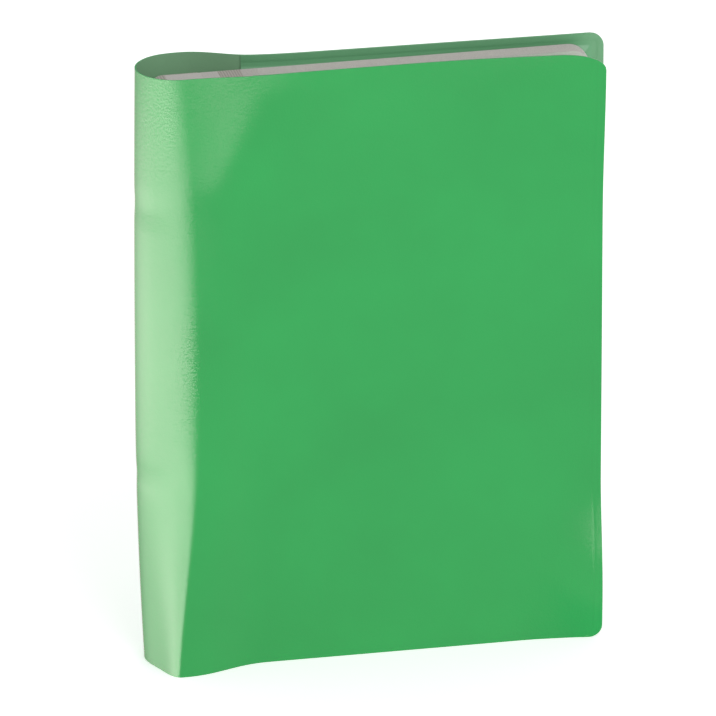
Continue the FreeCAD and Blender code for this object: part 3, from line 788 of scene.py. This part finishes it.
def rounded_back(low, high):
    """Model the tape round the guards' back edge, with the round that its glued fold makes."""
    tape = 0.3 * MM
    round_depth = 4.2 * MM
    back = low.x + tape
    middle = (low.y + high.y) / 2
    half = (high.y - low.y) / 2
    outline = [(x, low.y) for x in spread(high.x, back, 5)]
    for angle in spread(0, math.pi, 24)[1:-1]:
        outline.append((back - round_depth * math.sin(angle), middle - half * math.cos(angle)))
    outline += [(x, high.y) for x in spread(back, high.x, 5)]
    outline += [(high.x, high.y - tape), (back, high.y - tape), (back, low.y + tape), (high.x, low.y + tape)]
    deselect_all()
    bpy.ops.mesh.primitive_cylinder_add(vertices=len(outline), radius=1, depth=2)
    piece = bpy.context.object
    piece.name = piece.data.name = "binding_tape_linen"
    for vertex in piece.data.vertices:
        turn = math.atan2(vertex.co.x, vertex.co.y) % math.tau
        x, y = outline[round(turn / math.tau * len(outline)) % len(outline)]
        vertex.co = Vector((x, y, high.z if vertex.co.z > 0 else low.z))
    bpy.ops.object.mode_set(mode="EDIT")
    bpy.ops.mesh.select_all(action="SELECT")
    bpy.ops.mesh.normals_make_consistent(inside=False)
    bpy.ops.object.mode_set(mode="OBJECT")
    bpy.ops.object.shade_smooth_by_angle(angle=SMOOTH_ANGLE)
    return piece


class ALBUM_OT_binding(bpy.types.Operator):
    """Finish the card guards, the binding tape and the staples"""
    bl_idname = "album.binding"
    bl_label = "Binding"

    def execute(self, context):
        pages = settings("album_pages")
        nodes = frame["nodes"]
        # The last number is the painted shade on the guards' top and bottom edges.
        dress(nodes["binding_guards"], fibre_card("guard_card", list(pages.card_colour), 0.8, 0.65))
        linen = linen_weave("binding_linen", list(pages.linen_colour), 0.5)
        piece = rounded_back(*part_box("binding_tape"))
        dress(piece, linen)
        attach(piece, "spine")
        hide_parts("binding_tape")
        dress(nodes["binding_staples"], drawn_wire("galvanised_wire", list(pages.staple_colour)))
        return {"FINISHED"}


# How much lower on the screens a height on the film is mirrored, in metres.
SCREEN_DROP = 0.44


def screen_point(radius, azimuth, height):
    """Place on a round wall of screens; a height on the film is mirrored lower down on the wall."""
    centre_x = NOSE_X + settings("album_jacket").spine_depth
    turn = math.radians(azimuth)
    return Vector((centre_x + radius * math.sin(turn), -radius * math.cos(turn), height - SCREEN_DROP))


def add_screen(name, radius, columns, rows, azimuth_at, glow_at):
    """Add a glowing screen that only shows in reflections, from its azimuth and brightness rules."""
    screen = sheet_mesh(name, columns, rows, lambda c, row: screen_point(radius, azimuth_at(c, row), row))
    centre_x = NOSE_X + settings("album_jacket").spine_depth
    glow = screen.data.attributes.new("glow", "FLOAT", "POINT")
    for vertex, item in zip(screen.data.vertices, glow.data):
        azimuth = math.degrees(math.atan2(vertex.co.x - centre_x, -vertex.co.y))
        azimuth = azimuth - 360 if azimuth > 120 else azimuth
        item.value = glow_at(azimuth, vertex.co.z + SCREEN_DROP)
    material, tree, shader, place = new_material(name)
    tree.nodes.remove(shader)
    value = add_node(tree, "ShaderNodeAttribute", attribute_name="glow").outputs["Fac"]
    light = add_node(tree, "ShaderNodeEmission", {"Color": (1.0, 0.95, 0.85, 1)}, {"Strength": value})
    tree.links.new(light.outputs["Emission"], tree.nodes["Material Output"].inputs["Surface"])
    material.cycles.emission_sampling = "NONE"
    dress(screen, material)
    screen.visible_camera = False
    screen.visible_diffuse = False
    screen.visible_shadow = False


def add_screens():
    """Add a tall tilted softbox panel left of the album and an even, dim card in front of it."""
    def side_azimuth(share, height):
        edge = -43 + 200 * height
        return edge + (-205 - edge) * share

    def side_glow(azimuth, height):
        glow = 9.3 - 8.2 * smoothstep(-75, -165, azimuth)
        return glow * (1 - 0.6 * smoothstep(0.1, 0.28, height) - 0.35 * smoothstep(0.08, -0.12, height))

    add_screen("side_screen", 1.3, spread(0, 1, 48), spread(-0.3, 0.33, 63), side_azimuth, side_glow)
    add_screen("front_screen", 1.32, spread(-90, 60, 60), spread(-0.2, 0.5, 40), lambda c, row: c,
               lambda azimuth, height: 0.95)


class ALBUM_OT_stage(bpy.types.Operator):
    """Set up the floor, the soft studio light and the camera"""
    bl_idname = "album.stage"
    bl_label = "Stage"

    def execute(self, context):
        stage = settings("album_stage")
        scene = context.scene
        deselect_all()
        bpy.ops.mesh.primitive_plane_add(size=12)
        floor = context.object
        floor.name = "floor"
        material, tree, shader, place = new_material("pale_floor")
        shader.inputs["Base Color"].default_value = (*stage.floor_colour, 1)
        shader.inputs["Roughness"].default_value = 0.9
        shader.inputs["Specular IOR Level"].default_value = 0.0
        shader.inputs["Emission Color"].default_value = (1, 1, 1, 1)
        shader.inputs["Emission Strength"].default_value = 0.42
        dress(floor, material)

        world = bpy.data.worlds.new("studio")
        scene.world = world
        world.use_nodes = True
        world.node_tree.nodes["Background"].inputs["Color"].default_value = (1, 1, 1, 1)
        world.node_tree.nodes["Background"].inputs["Strength"].default_value = 0.55

        def softbox(name, azimuth, elevation, distance, width, height, power):
            """Add an area light that faces the album; azimuth 0 is its front and 90 its fore-edge."""
            light = bpy.data.lights.new(name, "AREA")
            light.shape = "RECTANGLE"
            light.size = width
            light.size_y = height
            light.energy = power
            lamp = bpy.data.objects.new(name, light)
            scene.collection.objects.link(lamp)
            turn, rise = math.radians(azimuth), math.radians(elevation)
            away = Vector((math.sin(turn) * math.cos(rise), -math.cos(turn) * math.cos(rise), math.sin(rise)))
            middle = Vector((0, 0, ALBUM_HEIGHT / 2))
            facing = (-away).to_track_quat("-Z", "Y").to_matrix().to_4x4()
            lamp.matrix_world = Matrix.Translation(middle + away * distance) @ facing
            return lamp

        softbox("key", 18, 38, 2.6, 1.6, 1.6, 21)
        softbox("fill", -60, 35, 1.8, 1.2, 1.2, 0.6)
        softbox("back", 160, 35, 2.6, 1.6, 1.6, 8).visible_glossy = False
        # The floor is left out of reflections, so the low screen beyond it shows in the film.
        floor.visible_glossy = False
        add_screens()

        camera = bpy.data.cameras.new("camera")
        camera.lens = stage.lens
        camera.sensor_width = 36
        camera.clip_end = 50
        eye = bpy.data.objects.new("camera", camera)
        scene.collection.objects.link(eye)
        aim = Vector((stage.aim_x, stage.aim_y, ALBUM_HEIGHT / 2))
        level = math.cos(stage.elevation)
        back = Vector((math.sin(stage.azimuth) * level, -math.cos(stage.azimuth) * level,
                       math.sin(stage.elevation)))
        turn = (-back).to_track_quat("-Z", "Y").to_matrix().to_4x4()
        eye.matrix_world = Matrix.Translation(aim + back * stage.distance) @ turn
        scene.camera = eye
        scene.view_settings.view_transform = "Standard"
        return {"FINISHED"}


OPERATORS = (ALBUM_OT_jacket, ALBUM_OT_pockets, ALBUM_OT_boards, ALBUM_OT_joint_strips,
             ALBUM_OT_linen_hinges, ALBUM_OT_pages, ALBUM_OT_binding, ALBUM_OT_stage)
GROUPS = {"album_jacket": JacketSettings, "album_pages": PageSettings, "album_stage": StageSettings}


class ALBUM_PT_panel(bpy.types.Panel):
    """Sidebar panel of the stamp album"""
    bl_idname = "ALBUM_PT_panel"
    bl_label = "Stamp Album"
    bl_space_type = "VIEW_3D"
    bl_region_type = "UI"
    bl_category = "Album"

    def draw(self, context):
        for group in GROUPS:
            for key in GROUPS[group].__annotations__:
                self.layout.prop(getattr(context.scene, group), key)
        for operator in OPERATORS:
            self.layout.operator(operator.bl_idname)


CLASSES = (*GROUPS.values(), *OPERATORS, ALBUM_PT_panel)


def register():
    """Register the classes and hang the settings on the scene."""
    for item in CLASSES:
        bpy.utils.register_class(item)
    for group, settings_class in GROUPS.items():
        setattr(bpy.types.Scene, group, bpy.props.PointerProperty(type=settings_class))


def unregister():
    """Undo register."""
    for group in GROUPS:
        delattr(bpy.types.Scene, group)
    for item in reversed(CLASSES):
        bpy.utils.unregister_class(item)


def main():
    """Build every piece."""
    register()
    bpy.ops.album.jacket()
    bpy.ops.album.pockets()
    bpy.ops.album.boards()
    bpy.ops.album.joint_strips()
    bpy.ops.album.linen_hinges()
    bpy.ops.album.pages()
    bpy.ops.album.binding()
    bpy.ops.album.stage()


if __name__ == "__main__":
    main()
